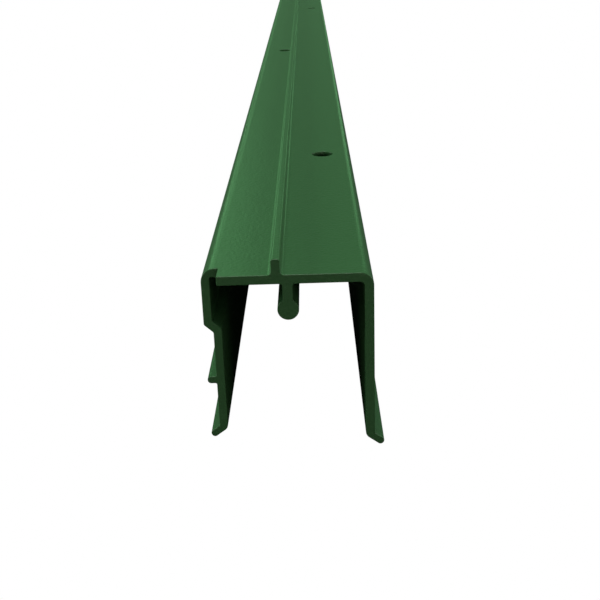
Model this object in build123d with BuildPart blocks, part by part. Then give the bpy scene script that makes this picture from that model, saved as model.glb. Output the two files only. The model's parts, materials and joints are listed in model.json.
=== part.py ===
"""A capped channel post: one extruded and coated metal section, drilled along its web and notched at one end.

Millimetres. X runs across the channel, Y along it and Z up. The feet stand on Z = 0, and the origin is the middle
of the length and of the overall width. The notched end is at -Y.
"""

import os
from math import atan2, cos, radians, sin, sqrt, tan

from build123d import *

# The channel as a whole
length = 1067.0
body_width = 40.0  # between the outer faces of the right leg and the upper left leg
web_height = 43.9  # top of the web above the tips of the feet
web_thickness = 2.2
right_wall = 2.2  # right leg
left_wall = 2.0  # left leg, above and below its step
right_corner_radius = 3.0
right_inner_radius = 1.0
left_corner_radius = 3.4
left_inner_radius = 0.3

# Upright rib on top of the web
rib_centre = 17.7  # from the left outer face
rib_thickness = 2.1
rib_height = 3.8
rib_base_radius = 0.9
rib_crest_radius = 0.6

# Stem and bulb hanging inside the channel
stem_centre = 20.3  # from the left outer face
stem_thickness = 2.4
stem_depth = 11.0  # lowest point of the bulb below the top of the web
bulb_diameter = 5.0
stem_root_radius = 0.6
stem_neck_radius = 0.5

# Step in the left leg
step_start = 14.1  # outer bend below the top of the web
step_height = 2.0
step_inset = 2.2
step_bend_radius = 0.7

# Ledge on the outside of the lower left leg
ledge_drop = 27.6  # upper side below the top of the web
ledge_thickness = 1.8
ledge_reach = 2.2
ledge_root_radius = 0.4

# Flared foot of each leg
foot_reach = 2.2
foot_thickness = 1.8
foot_angle = 36.0  # below the horizontal
foot_outer_radius = 0.6  # bend between a foot and its leg's outer face
foot_inner_radius = 1.8

# Round holes, alternately right and left of the rib
hole_diameter = 7.0
hole_pitch = 276.0
hole_end_margin = 40.0  # least distance from a hole's centre to an end
left_hole_gap = 0.3  # between the rib's side and the holes on its left

# Notch in the left side of the -Y end, as wide as the step and the lower leg
notch_length = 5.8
notch_width = step_inset + left_wall

# A rounded tip keeps a sliver of flat between its two arcs
tip_share = 0.47
foot_tip_radius = tip_share * foot_thickness
ledge_tip_radius = tip_share * ledge_thickness

# Places across the section
left_overhang = max(0.0, foot_reach - step_inset, ledge_reach - step_inset)
left_face = left_overhang - (left_overhang + body_width + foot_reach) / 2
right_face = left_face + body_width
lower_left_face = left_face + step_inset
rib_x = left_face + rib_centre
stem_x = left_face + stem_centre
bulb_radius = bulb_diameter / 2
bulb_z = web_height - stem_depth + bulb_radius
web_underside = web_height - web_thickness


def foot_corners(face, side, wall):
    """Corners of the flared foot of a leg, from its outer face to its inner face, each with its radius.

    `face` is the leg's outer face, `side` 1 on the right and -1 on the left, and `wall` the leg's thickness. The
    corners are the bend on the outer face, the two corners of the tip and the bend on the inner face.
    """
    slope = radians(foot_angle)
    flat = foot_thickness - 2 * foot_tip_radius
    # Centres of the tip's two arcs: the lower one touches Z = 0, the upper one the foot's full reach
    upper_out, upper_z = foot_reach - foot_tip_radius, foot_tip_radius + flat * cos(slope)
    lower_out, lower_z = upper_out - flat * sin(slope), foot_tip_radius
    # Sharp corners of the tip
    upper_out += foot_tip_radius * (cos(slope) + sin(slope))
    upper_z += foot_tip_radius * (cos(slope) - sin(slope))
    lower_out += foot_tip_radius * (cos(slope) - sin(slope))
    lower_z -= foot_tip_radius * (cos(slope) + sin(slope))
    outer_bend_z = upper_z + upper_out * tan(slope)
    inner_bend_z = lower_z + (lower_out + wall) * tan(slope)
    return [
        ((face, outer_bend_z), foot_outer_radius),
        ((face + side * upper_out, upper_z), foot_tip_radius),
        ((face + side * lower_out, lower_z), foot_tip_radius),
        ((face - side * wall, inner_bend_z), foot_inner_radius),
    ]


# Both bends of the step keep the leg's wall constant, so the inner bends sit this much above the outer ones
bend_rise = left_wall * tan(atan2(step_inset, step_height) / 2)
step_top = web_height - step_start
step_bottom = step_top - step_height
ledge_top = web_height - ledge_drop
ledge_underside = ledge_top - ledge_thickness
ledge_tip = lower_left_face - ledge_reach
rib_left, rib_right = rib_x - rib_thickness / 2, rib_x + rib_thickness / 2
rib_crest = web_height + rib_height
stem_left, stem_right = stem_x - stem_thickness / 2, stem_x + stem_thickness / 2

# The section's outline, clockwise from the top left corner: each corner with its radius
outline = [
    ((left_face, web_height), left_corner_radius),
    ((rib_left, web_height), rib_base_radius),
    ((rib_left, rib_crest), rib_crest_radius),
    ((rib_right, rib_crest), rib_crest_radius),
    ((rib_right, web_height), rib_base_radius),
    ((right_face, web_height), right_corner_radius),
    *foot_corners(right_face, 1, right_wall),
    ((right_face - right_wall, web_underside), right_inner_radius),
    ((stem_right, web_underside), stem_root_radius),
    ((stem_right, bulb_z), 0),
    ((stem_left, bulb_z), 0),
    ((stem_left, web_underside), stem_root_radius),
    ((left_face + left_wall, web_underside), left_inner_radius),
    ((left_face + left_wall, step_top + bend_rise), step_bend_radius),
    ((lower_left_face + left_wall, step_bottom + bend_rise), step_bend_radius),
    *reversed(foot_corners(lower_left_face, -1, left_wall)),
    ((lower_left_face, ledge_underside), ledge_root_radius),
    ((ledge_tip, ledge_underside), ledge_tip_radius),
    ((ledge_tip, ledge_top), ledge_tip_radius),
    ((lower_left_face, ledge_top), ledge_root_radius),
    ((lower_left_face, step_bottom), step_bend_radius),
    ((left_face, step_top), step_bend_radius),
]

# Holes along the web: as many as the length takes at the pitch, centred on it
hole_count = 1 + int((length - 2 * hole_end_margin) / hole_pitch)
first_hole_y = -(hole_count - 1) * hole_pitch / 2
right_hole_x = (stem_x + bulb_radius + right_face - right_wall) / 2  # midway between the bulb and the right leg
left_hole_x = rib_left - left_hole_gap - hole_diameter / 2
hole_lines = [right_hole_x, left_hole_x]
drill_start = web_height + rib_base_radius  # above the fillets at the rib's base, so that nothing is left over a hole
hole_places = [
    (hole_lines[i % 2], first_hole_y + i * hole_pitch, drill_start) for i in range(hole_count)
]

with BuildPart() as post_channel:
    with BuildSketch(Plane.XZ) as section:
        with BuildLine():
            corners, corner_radii = zip(*outline)
            FilletPolyline(*corners, radius=corner_radii, close=True)
        make_face()
        with Locations((stem_x, bulb_z)):
            Circle(bulb_radius)
        # Necks where the stem runs into the bulb
        neck_z = bulb_z + sqrt(bulb_radius**2 - (stem_thickness / 2) ** 2)
        for neck_x in (stem_left, stem_right):
            fillet(section.vertices().sort_by_distance((neck_x, neck_z))[0], stem_neck_radius)
    extrude(amount=length / 2, both=True)
    with Locations(*hole_places):
        Hole(hole_diameter / 2, depth=drill_start - web_underside)
    with BuildSketch(Plane.XY):
        with Locations((left_face - left_overhang, -length / 2)):
            Rectangle(left_overhang + notch_width, notch_length, align=(Align.MIN, Align.MIN))
    extrude(amount=rib_crest, mode=Mode.SUBTRACT)

post_channel.part.label = "post_channel"

os.makedirs("parts", exist_ok=True)
export_step(post_channel.part, "parts/post_channel.step")
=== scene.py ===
"""Looks of a green powder-coated channel post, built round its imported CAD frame.

Metres, in the frame's own axes: X across the channel, Y along it and Z up. The notched end is at -Y.
"""

import json
from math import atan2, ceil, cos, pi, radians, sin, sqrt, tan

import bmesh
import bpy
from mathutils import Matrix, Vector


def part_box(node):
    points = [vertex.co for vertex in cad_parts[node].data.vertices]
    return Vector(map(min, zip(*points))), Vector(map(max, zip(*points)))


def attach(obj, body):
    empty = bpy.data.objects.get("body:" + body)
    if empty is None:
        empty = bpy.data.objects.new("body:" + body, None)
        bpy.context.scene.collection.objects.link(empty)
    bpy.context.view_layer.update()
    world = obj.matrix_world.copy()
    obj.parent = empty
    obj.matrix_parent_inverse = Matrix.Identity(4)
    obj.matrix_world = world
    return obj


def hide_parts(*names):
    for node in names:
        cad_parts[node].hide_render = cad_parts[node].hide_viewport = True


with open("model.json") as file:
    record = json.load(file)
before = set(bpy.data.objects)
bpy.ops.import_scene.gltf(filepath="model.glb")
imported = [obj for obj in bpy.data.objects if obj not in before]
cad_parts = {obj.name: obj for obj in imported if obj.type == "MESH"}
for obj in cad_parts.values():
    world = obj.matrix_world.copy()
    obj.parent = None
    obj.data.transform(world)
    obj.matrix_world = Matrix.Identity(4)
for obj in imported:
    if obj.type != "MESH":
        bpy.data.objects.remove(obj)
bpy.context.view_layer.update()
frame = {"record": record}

MM = 0.001  # one millimetre, in metres

# ---------------------------------------------------------------------------
# Sizes, as a maker would gauge them on the section
# ---------------------------------------------------------------------------
WEB_HEIGHT = 43.9 * MM
WEB_THICKNESS = 2.2 * MM
RIGHT_WALL = 2.2 * MM
LEFT_WALL = 2.0 * MM
RIGHT_CORNER_RADIUS = 3.0 * MM
RIGHT_INNER_RADIUS = 1.0 * MM
LEFT_CORNER_RADIUS = 3.4 * MM
LEFT_INNER_RADIUS = 0.3 * MM

RIB_CENTRE = 17.7 * MM
RIB_THICKNESS = 2.1 * MM
RIB_BASE_RADIUS = 0.9 * MM
RIB_CREST_RADIUS = 0.6 * MM

STEM_CENTRE = 20.3 * MM
STEM_THICKNESS = 2.4 * MM
STEM_DEPTH = 11.0 * MM
BULB_RADIUS = 2.5 * MM
STEM_ROOT_RADIUS = 0.6 * MM
STEM_NECK_RADIUS = 0.5 * MM

STEP_START = 14.1 * MM
STEP_HEIGHT = 2.0 * MM
STEP_INSET = 2.2 * MM
STEP_BEND_RADIUS = 0.7 * MM

LEDGE_DROP = 27.6 * MM
LEDGE_THICKNESS = 1.8 * MM
LEDGE_REACH = 2.2 * MM
LEDGE_ROOT_RADIUS = 0.4 * MM

FOOT_REACH = 2.2 * MM
FOOT_THICKNESS = 1.8 * MM
FOOT_ANGLE = radians(36)
FOOT_OUTER_RADIUS = 0.6 * MM
FOOT_INNER_RADIUS = 1.8 * MM

TIP_SHARE = 0.47  # radius of a tip's corners as a share of its thickness
NOTCH_LENGTH = 5.8 * MM

# Edges as sawing, drilling and coating leave them
CUT_EDGE = 0.16 * MM
HOLE_EDGE = 0.16 * MM

# Fineness of the mesh
ARC_STEP = radians(7)  # most that a rounded corner turns from one point to the next
CUT_EDGE_STEPS = 3
HOLE_EDGE_STEPS = 4
HOLE_SIDES = 96
STRAIGHT_WITHIN = radians(0.05)  # flatter than this counts as one face
SAWN_EDGE_FROM = radians(50)  # sharper outer edges than this are rounded
CREASE_FROM = radians(35)  # sharper edges than this are shaded as creases

# Places taken from the frame
low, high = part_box("post_channel")
left_face = low.x
right_face = high.x - FOOT_REACH
lower_left_face = left_face + STEP_INSET
web_top = low.z + WEB_HEIGHT
web_underside = web_top - WEB_THICKNESS
rib_crest = high.z
rib_x = left_face + RIB_CENTRE
stem_x = left_face + STEM_CENTRE
bulb_z = web_top - STEM_DEPTH + BULB_RADIUS
mounts = {mount["name"]: mount for mount in frame["record"]["mounts"]}

BULB = "bulb"  # stands in the list of corners where the stem's bulb comes


# ---------------------------------------------------------------------------
# The section
# ---------------------------------------------------------------------------
def foot_corners(face, side, wall):
    """Corners of a flared foot, from the leg's outer face to its inner face, each with its radius."""
    tip = TIP_SHARE * FOOT_THICKNESS
    flat = FOOT_THICKNESS - 2 * tip
    rise, run = sin(FOOT_ANGLE), cos(FOOT_ANGLE)
    upper = Vector((FOOT_REACH - tip, low.z + tip + flat * run))
    lower = upper - flat * Vector((rise, run))
    upper += tip * Vector((run + rise, run - rise))
    lower += tip * Vector((run - rise, -run - rise))
    outer_bend = upper.y + upper.x * tan(FOOT_ANGLE)
    inner_bend = lower.y + (lower.x + wall) * tan(FOOT_ANGLE)
    return [
        (face, outer_bend, FOOT_OUTER_RADIUS),
        (face + side * upper.x, upper.y, tip),
        (face + side * lower.x, lower.y, tip),
        (face - side * wall, inner_bend, FOOT_INNER_RADIUS),
    ]


def section_corners():
    """Every corner of the section, clockwise from the top left one: x, z and radius, or BULB."""
    step_top = web_top - STEP_START
    step_bottom = step_top - STEP_HEIGHT
    bend_rise = LEFT_WALL * tan(atan2(STEP_INSET, STEP_HEIGHT) / 2)
    ledge_top = web_top - LEDGE_DROP
    ledge_underside = ledge_top - LEDGE_THICKNESS
    ledge_tip = lower_left_face - LEDGE_REACH
    ledge_radius = TIP_SHARE * LEDGE_THICKNESS
    rib_left, rib_right = rib_x - RIB_THICKNESS / 2, rib_x + RIB_THICKNESS / 2
    return [
        (left_face, web_top, LEFT_CORNER_RADIUS),
        (rib_left, web_top, RIB_BASE_RADIUS),
        (rib_left, rib_crest, RIB_CREST_RADIUS),
        (rib_right, rib_crest, RIB_CREST_RADIUS),
        (rib_right, web_top, RIB_BASE_RADIUS),
        (right_face, web_top, RIGHT_CORNER_RADIUS),
        *foot_corners(right_face, 1, RIGHT_WALL),
        (right_face - RIGHT_WALL, web_underside, RIGHT_INNER_RADIUS),
        (stem_x + STEM_THICKNESS / 2, web_underside, STEM_ROOT_RADIUS),
        BULB,
        (stem_x - STEM_THICKNESS / 2, web_underside, STEM_ROOT_RADIUS),
        (left_face + LEFT_WALL, web_underside, LEFT_INNER_RADIUS),
        (left_face + LEFT_WALL, step_top + bend_rise, STEP_BEND_RADIUS),
        (lower_left_face + LEFT_WALL, step_bottom + bend_rise, STEP_BEND_RADIUS),
        *reversed(foot_corners(lower_left_face, -1, LEFT_WALL)),
        (lower_left_face, ledge_underside, LEDGE_ROOT_RADIUS),
        (ledge_tip, ledge_underside, ledge_radius),
        (ledge_tip, ledge_top, ledge_radius),
        (lower_left_face, ledge_top, LEDGE_ROOT_RADIUS),
        (lower_left_face, step_bottom, STEP_BEND_RADIUS),
        (left_face, step_top, STEP_BEND_RADIUS),
    ]


def arc(centre, radius, start, turn):
    """Points on an arc from angle `start` through `turn`, both ends included."""
    count = max(2, ceil(abs(turn) / ARC_STEP))  # at least one point between the ends
    angles = [start + turn * i / count for i in range(count + 1)]
    return [centre + radius * Vector((cos(a), sin(a))) for a in angles]


def rounded(before, corner, after, radius):
    """The arc that rounds a corner between its two neighbours."""
    to_before = (before - corner).normalized()
    to_after = (after - corner).normalized()
    half = to_before.angle(to_after) / 2
    centre = corner + (to_before + to_after).normalized() * radius / sin(half)
    first = corner + to_before * radius / tan(half) - centre
    last = corner + to_after * radius / tan(half) - centre
    start = atan2(first.y, first.x)
    turn = (atan2(last.y, last.x) - start + pi) % (2 * pi) - pi
    return arc(centre, radius, start, turn)


def bulb_points():
    """The stem's bulb from its right neck to its left one, with a fillet at each neck."""
    half_stem = STEM_THICKNESS / 2
    neck_x = half_stem + STEM_NECK_RADIUS
    neck_drop = sqrt((BULB_RADIUS + STEM_NECK_RADIUS) ** 2 - neck_x**2)
    bulb = Vector((stem_x, bulb_z))
    right_neck = bulb + Vector((neck_x, neck_drop))
    left_neck = bulb + Vector((-neck_x, neck_drop))
    lean = atan2(neck_drop, neck_x)
    return [
        *arc(right_neck, STEM_NECK_RADIUS, pi, lean),
        *arc(bulb, BULB_RADIUS, lean, -(pi + 2 * lean))[1:-1],
        *arc(left_neck, STEM_NECK_RADIUS, -lean, lean),
    ]


def section_outline():
    """The section as one closed run of points (x, z)."""
    corners = section_corners()
    places = [Vector((stem_x, bulb_z)) if corner == BULB else Vector(corner[:2]) for corner in corners]
    outline = []
    for i, corner in enumerate(corners):
        if corner == BULB:
            outline += bulb_points()
            continue
        following = (i + 1) % len(corners)
        before, after = places[i - 1], places[following]
        # Beside the bulb the stem runs straight down, not to the bulb's centre
        if corners[i - 1] == BULB:
            before = Vector((places[i].x, bulb_z))
        if corners[following] == BULB:
            after = Vector((places[i].x, bulb_z))
        outline += rounded(before, places[i], after, radius=corner[2])
    return outline


# ---------------------------------------------------------------------------
# Mesh helpers
# ---------------------------------------------------------------------------
def new_object(name, data):
    """An object that shows the mesh, light or camera, placed in the scene."""
    thing = bpy.data.objects.new(name, data)
    bpy.context.scene.collection.objects.link(thing)
    return thing


def prism(name, outline, near, far):
    """A closed solid of the outline, from y = near to y = far."""
    mesh = bpy.data.meshes.new(name)
    shape = bmesh.new()
    near_ring = [shape.verts.new((p.x, near, p.y)) for p in outline]
    far_ring = [shape.verts.new((p.x, far, p.y)) for p in outline]
    shape.faces.new(near_ring)
    shape.faces.new(reversed(far_ring))
    for i, vert in enumerate(near_ring):
        shape.faces.new((near_ring[i - 1], far_ring[i - 1], far_ring[i], vert))
    bmesh.ops.recalc_face_normals(shape, faces=shape.faces[:])
    shape.to_mesh(mesh)
    shape.free()
    return new_object(name, mesh)


def drill(place, radius):
    """A turned cutter for one hole: straight in the web, flaring where the rims are rounded."""
    wide = radius + HOLE_EDGE
    lip_angles = [pi / 2 * i / HOLE_EDGE_STEPS for i in range(HOLE_EDGE_STEPS + 1)]
    upper = [(wide - HOLE_EDGE * cos(a), web_top - HOLE_EDGE * (1 - sin(a))) for a in lip_angles]
    upper.append((wide, web_top + WEB_THICKNESS))
    middle = web_top - WEB_THICKNESS / 2
    profile = [(r, 2 * middle - z) for r, z in reversed(upper)] + upper
    mesh = bpy.data.meshes.new("drill")
    shape = bmesh.new()
    turns = [2 * pi * i / HOLE_SIDES for i in range(HOLE_SIDES)]
    rings = [
        [shape.verts.new((place.x + r * cos(t), place.y + r * sin(t), z)) for t in turns]
        for r, z in profile
    ]
    for lower_ring, upper_ring in zip(rings, rings[1:]):
        for i in range(HOLE_SIDES):
            shape.faces.new((lower_ring[i - 1], lower_ring[i], upper_ring[i], upper_ring[i - 1]))
    shape.faces.new(reversed(rings[0]))
    shape.faces.new(rings[-1])
    shape.to_mesh(mesh)
    shape.free()
    return new_object("drill", mesh)


def cut(piece, tools):
    """Cuts the tools out of the piece and leaves a plain mesh."""
    for tool in tools:
        modifier = piece.modifiers.new("cut", "BOOLEAN")
        modifier.operation = "DIFFERENCE"
        modifier.solver = "EXACT"
        modifier.object = tool
    depsgraph = bpy.context.evaluated_depsgraph_get()
    mesh = bpy.data.meshes.new_from_object(piece.evaluated_get(depsgraph))
    piece.modifiers.clear()
    piece.data = mesh
    for tool in tools:
        bpy.data.objects.remove(tool)


def break_edges(piece):
    """Rounds every sharp outer edge as sawing and coating leave it."""
    shape = bmesh.new()
    shape.from_mesh(piece.data)
    bmesh.ops.dissolve_limit(
        shape,
        angle_limit=STRAIGHT_WITHIN,
        use_dissolve_boundaries=False,
        verts=shape.verts[:],
        edges=shape.edges[:],
    )
    sharp = [edge for edge in shape.edges if edge.is_convex and edge.calc_face_angle() > SAWN_EDGE_FROM]
    bmesh.ops.bevel(
        shape,
        geom=sharp,
        offset=CUT_EDGE,
        offset_type="OFFSET",
        segments=CUT_EDGE_STEPS,
        profile=0.5,
        affect="EDGES",
        clamp_overlap=False,
    )
    shape.to_mesh(piece.data)
    shape.free()


def shade(piece):
    """Smooth shading that keeps the flats flat and creases sharp."""
    shape = bmesh.new()
    shape.from_mesh(piece.data)
    for face in shape.faces:
        face.smooth = True
    for edge in shape.edges:
        edge.smooth = edge.calc_face_angle(0) < CREASE_FROM
    shape.to_mesh(piece.data)
    shape.free()
    weighted = piece.modifiers.new("flat_faces", "WEIGHTED_NORMAL")
    weighted.keep_sharp = True
    weighted.weight = 100  # the largest faces decide


# ---------------------------------------------------------------------------
# The post
# ---------------------------------------------------------------------------
def hole_list():
    """Centre and radius of every hole, from the two lines of holes that the record states."""
    holes = []
    for line in ("right_hole_line", "left_hole_line"):
        centre, sizes = Vector(mounts[line]["pos_m"]), mounts[line]["dims"]
        half_spacing = sizes["spacing_y_mm"] * MM / 2
        for side in (-1, 1):
            holes.append((centre + Vector((0, side * half_spacing, 0)), sizes["hole_r_mm"] * MM))
    return holes


def make_post():
    """The channel: extruded, notched, its sawn edges broken, then drilled."""
    post = prism("coated_channel", section_outline(), low.y, high.y)
    notch_side = lower_left_face + LEFT_WALL
    clear = 5 * MM
    notch = [
        Vector((left_face - clear, low.z - clear)),
        Vector((left_face - clear, rib_crest + clear)),
        Vector((notch_side, rib_crest + clear)),
        Vector((notch_side, low.z - clear)),
    ]
    cut(post, [prism("notch", notch, low.y - clear, low.y + NOTCH_LENGTH)])
    break_edges(post)
    cut(post, [drill(place, radius) for place, radius in hole_list()])
    shade(post)
    return post


# ---------------------------------------------------------------------------
# Finish
# ---------------------------------------------------------------------------
DARKER_GREEN = (0.0405, 0.142, 0.047, 1)
LIGHTER_GREEN = (0.0455, 0.158, 0.053, 1)
FLOOR_GREY = (0.05, 0.05, 0.05, 1)


def node(tree, kind, place, **values):
    """A shader node with its properties and input values set."""
    made = tree.nodes.new(kind)
    made.location = place
    for key, value in values.items():
        if key in made.inputs:
            made.inputs[key].default_value = value
        else:
            setattr(made, key, value)
    return made


def powder_grain_group():
    """Pebbling of a baked powder coat: its height, and a mask that drifts over a few pebbles."""
    group = bpy.data.node_groups.new("powder_grain", "ShaderNodeTree")
    group.interface.new_socket("Pebble Size", in_out="INPUT", socket_type="NodeSocketFloat")
    group.interface.new_socket("Height", in_out="OUTPUT", socket_type="NodeSocketFloat")
    group.interface.new_socket("Drift", in_out="OUTPUT", socket_type="NodeSocketFloat")
    ends = group.nodes.new("NodeGroupInput")
    out = group.nodes.new("NodeGroupOutput")
    where = group.nodes.new("ShaderNodeTexCoord")
    per_metre = node(group, "ShaderNodeMath", (-600, 0), operation="DIVIDE")
    per_metre.inputs[0].default_value = 1 / MM
    pebbles = node(group, "ShaderNodeTexNoise", (-400, 0), Detail=2.0, Roughness=0.55)
    broader = node(group, "ShaderNodeMath", (-500, -300), operation="MULTIPLY")
    broader.inputs[1].default_value = 0.45  # the mask changes about half as fast as the pebbles
    drift = node(group, "ShaderNodeTexNoise", (-400, -300), Detail=1.0, Roughness=0.5)
    link = group.links.new
    link(ends.outputs["Pebble Size"], per_metre.inputs[1])
    link(where.outputs["Object"], pebbles.inputs["Vector"])
    link(per_metre.outputs[0], pebbles.inputs["Scale"])
    link(per_metre.outputs[0], broader.inputs[0])
    link(where.outputs["Object"], drift.inputs["Vector"])
    link(broader.outputs[0], drift.inputs["Scale"])
    link(pebbles.outputs["Fac"], out.inputs["Height"])
    link(drift.outputs["Fac"], out.inputs["Drift"])
    return group


def green_powder_coat():
    """Satin green powder coat, faintly mottled and pebbled."""
    material = bpy.data.materials.new("green_powder_coat")
    material.use_nodes = True
    tree = material.node_tree
    shader = tree.nodes["Principled BSDF"]
    shader.inputs["Roughness"].default_value = 0.28
    shader.inputs["Specular IOR Level"].default_value = 0.3
    grain = node(tree, "ShaderNodeGroup", (-700, -200), node_tree=powder_grain_group())
    grain.inputs["Pebble Size"].default_value = 0.9  # millimetres
    bump = node(tree, "ShaderNodeBump", (-250, -200), Strength=0.5, Distance=0.16 * MM)
    mottle = node(tree, "ShaderNodeMix", (-250, 150), data_type="RGBA")
    mottle.inputs["A"].default_value = DARKER_GREEN
    mottle.inputs["B"].default_value = LIGHTER_GREEN
    link = tree.links.new
    link(grain.outputs["Height"], bump.inputs["Height"])
    link(grain.outputs["Drift"], mottle.inputs["Factor"])
    link(mottle.outputs["Result"], shader.inputs["Base Color"])
    link(bump.outputs["Normal"], shader.inputs["Normal"])
    return material


def pale_floor():
    """A floor that the camera sees white and that sends only a little light back up."""
    material = bpy.data.materials.new("pale_floor")
    material.use_nodes = True
    tree = material.node_tree
    tree.nodes.remove(tree.nodes["Principled BSDF"])
    out = tree.nodes["Material Output"]
    seen = node(tree, "ShaderNodeLightPath", (-600, 200))
    white = node(tree, "ShaderNodeEmission", (-300, 0), Color=(1, 1, 1, 1), Strength=1.0)
    dull = node(tree, "ShaderNodeBsdfDiffuse", (-300, -200), Color=FLOOR_GREY)
    mix = node(tree, "ShaderNodeMixShader", (0, 0))
    link = tree.links.new
    link(seen.outputs["Is Camera Ray"], mix.inputs["Fac"])
    link(dull.outputs["BSDF"], mix.inputs[1])
    link(white.outputs["Emission"], mix.inputs[2])
    link(mix.outputs["Shader"], out.inputs["Surface"])
    return material


# ---------------------------------------------------------------------------
# Studio
# ---------------------------------------------------------------------------
FLOOR_HALF = 30.0  # half the floor's side, in metres
LIGHT_DISTANCE = 5.0
WORLD_LIGHT = 0.04

# Tints of the lights; those beyond the far end are green, so that their reflections keep the coat's colour
WHITE = (1, 1, 1)
WARM = (1, 0.8, 0.8)
GREEN = (0.33, 1, 0.40)


def make_floor():
    """A wide floor under the feet."""
    mesh = bpy.data.meshes.new("floor")
    corners = [(-1, -1), (1, -1), (1, 1), (-1, 1)]
    mesh.from_pydata([(x * FLOOR_HALF, y * FLOOR_HALF, low.z) for x, y in corners], [], [(0, 1, 2, 3)])
    floor = new_object("floor", mesh)
    mesh.materials.append(pale_floor())


def make_world():
    """Surroundings that the camera sees white and that light the channel only faintly."""
    world = bpy.data.worlds.new("studio")
    bpy.context.scene.world = world
    world.use_nodes = True
    tree = world.node_tree
    sky = tree.nodes["Background"]
    sky.inputs["Color"].default_value = (1, 1, 1, 1)
    seen = node(tree, "ShaderNodeLightPath", (-600, 0))
    level = node(tree, "ShaderNodeMix", (-300, 0), data_type="FLOAT")
    level.inputs["A"].default_value = WORLD_LIGHT
    level.inputs["B"].default_value = 1.0
    tree.links.new(seen.outputs["Is Camera Ray"], level.inputs["Factor"])
    tree.links.new(level.outputs["Result"], sky.inputs["Strength"])


def softbox(name, azimuth, elevation, light, width, height, colour=WHITE):
    """A soft rectangular light, placed as seen from the middle of the channel's near half.

    `azimuth` is in degrees from the far end (+Y) towards +X and `elevation` in degrees above the horizontal.
    `light` is what falls on a face turned to the box, in watts per square metre. The sides are in metres.
    """
    data = bpy.data.lights.new(name, "AREA")
    data.shape = "RECTANGLE"
    data.size, data.size_y = width, height
    data.energy = light * pi * LIGHT_DISTANCE**2
    data.color = colour
    box = new_object(name, data)
    turn, rise = radians(azimuth), radians(elevation)
    towards = Vector((sin(turn) * cos(rise), cos(turn) * cos(rise), sin(rise)))
    aim = Vector((0, low.y / 2, web_top))
    box.location = aim + LIGHT_DISTANCE * towards
    box.rotation_euler = towards.to_track_quat("Z", "Y").to_euler()


def make_lights():
    """Broad lights above and on both sides, a low one facing the cut end, small ones beyond the far end."""
    softbox("top", -40, 84, 1.92, 2.6, 2.6)
    softbox("left_side", -80, 16, 1.50, 2.6, 1.5)
    softbox("left_front", -120, 9, 0.22, 2.6, 1.5, WARM)
    softbox("right_side", 65, 20, 0.85, 2.6, 2.0)
    softbox("right_front", 120, 9, 0.40, 2.6, 1.5, WARM)
    softbox("front", 180, 5, 0.45, 2.6, 0.7, WARM)
    softbox("back_left", -10, 18, 0.032, 0.9, 0.9, GREEN)
    softbox("corner_left", -17, 11, 0.024, 0.5, 0.5, GREEN)
    softbox("far_end", 0, 6, 0.008, 1.6, 0.5, GREEN)
    softbox("corner_right", 12, 5, 0.02, 0.6, 0.6, GREEN)


def make_camera():
    """Looks along the channel from in front of its notched end, above it and a little to the right."""
    data = bpy.data.cameras.new("camera")
    data.sensor_width = 36.0  # millimetres, as is the lens
    data.lens = 59.7
    data.clip_start = 0.005
    data.clip_end = 100.0
    camera = new_object("camera", data)
    camera.location = (left_face + 26.59 * MM, low.y - 211.1 * MM, web_top + 75.87 * MM)
    down, left, tilt = radians(21.23), radians(0.956), radians(-1.99)
    level_view = Matrix.Rotation(pi / 2 - down, 3, "X") @ Matrix.Rotation(tilt, 3, "Z")
    camera.rotation_euler = (Matrix.Rotation(left, 3, "Z") @ level_view).to_euler()
    bpy.context.scene.camera = camera


# ---------------------------------------------------------------------------
# Everything together
# ---------------------------------------------------------------------------
post = make_post()
post.data.materials.clear()
post.data.materials.append(green_powder_coat())
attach(post, "root")
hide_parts("post_channel")

make_floor()
make_world()
make_lights()
make_camera()
bpy.context.scene.view_settings.view_transform = "Standard"
